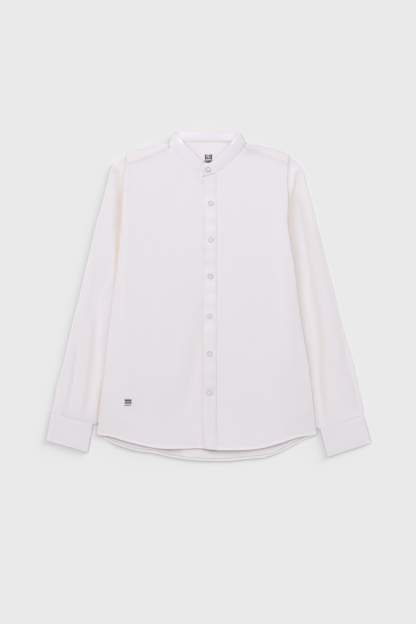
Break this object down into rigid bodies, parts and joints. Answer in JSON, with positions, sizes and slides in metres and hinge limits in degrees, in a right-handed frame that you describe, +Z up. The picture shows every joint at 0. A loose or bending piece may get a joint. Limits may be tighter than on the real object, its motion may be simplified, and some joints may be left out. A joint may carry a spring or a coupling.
{
  "type": "mandarin collar shirt",
  "caption": "Long-sleeved shirt with a standing band collar, buttoned front, yoke, cuffs and curved hem, laid flat with the sleeves straight down and partly under the body.",
  "frame": {"origin": "middle of the shirt's box, on the surface that it lies on", "axes": "+X to the wearer's left, +Y from the hem to the collar, +Z up off the surface"},
  "size_m": [0.7382, 0.7468, 0.0226],
  "materials": {
    "shirt_cloth": "fine plain weave, soft matt off-white",
    "interlined_cloth": "the same weave over interlining, smoother and cooler white",
    "patch_cloth": "close-woven tape",
    "button_resin": "pale translucent resin, low gloss"
  },
  "bodies": {
    "root": {"back": "shirt_cloth", "yoke": "shirt_cloth", "front_right": "shirt_cloth", "front_left": "shirt_cloth", "sleeve_right": "shirt_cloth", "sleeve_left": "shirt_cloth", "sleeve_placket_right": "shirt_cloth", "sleeve_placket_left": "shirt_cloth", "placket": "interlined_cloth", "collar": "interlined_cloth", "cuff_right": "interlined_cloth", "cuff_left": "interlined_cloth", "hem_patch": "patch_cloth", "button_1": "button_resin", "button_2": "button_resin", "button_3": "button_resin", "button_4": "button_resin", "button_5": "button_resin", "button_6": "button_resin", "button_7": "button_resin"}
  },
  "joints": []
}
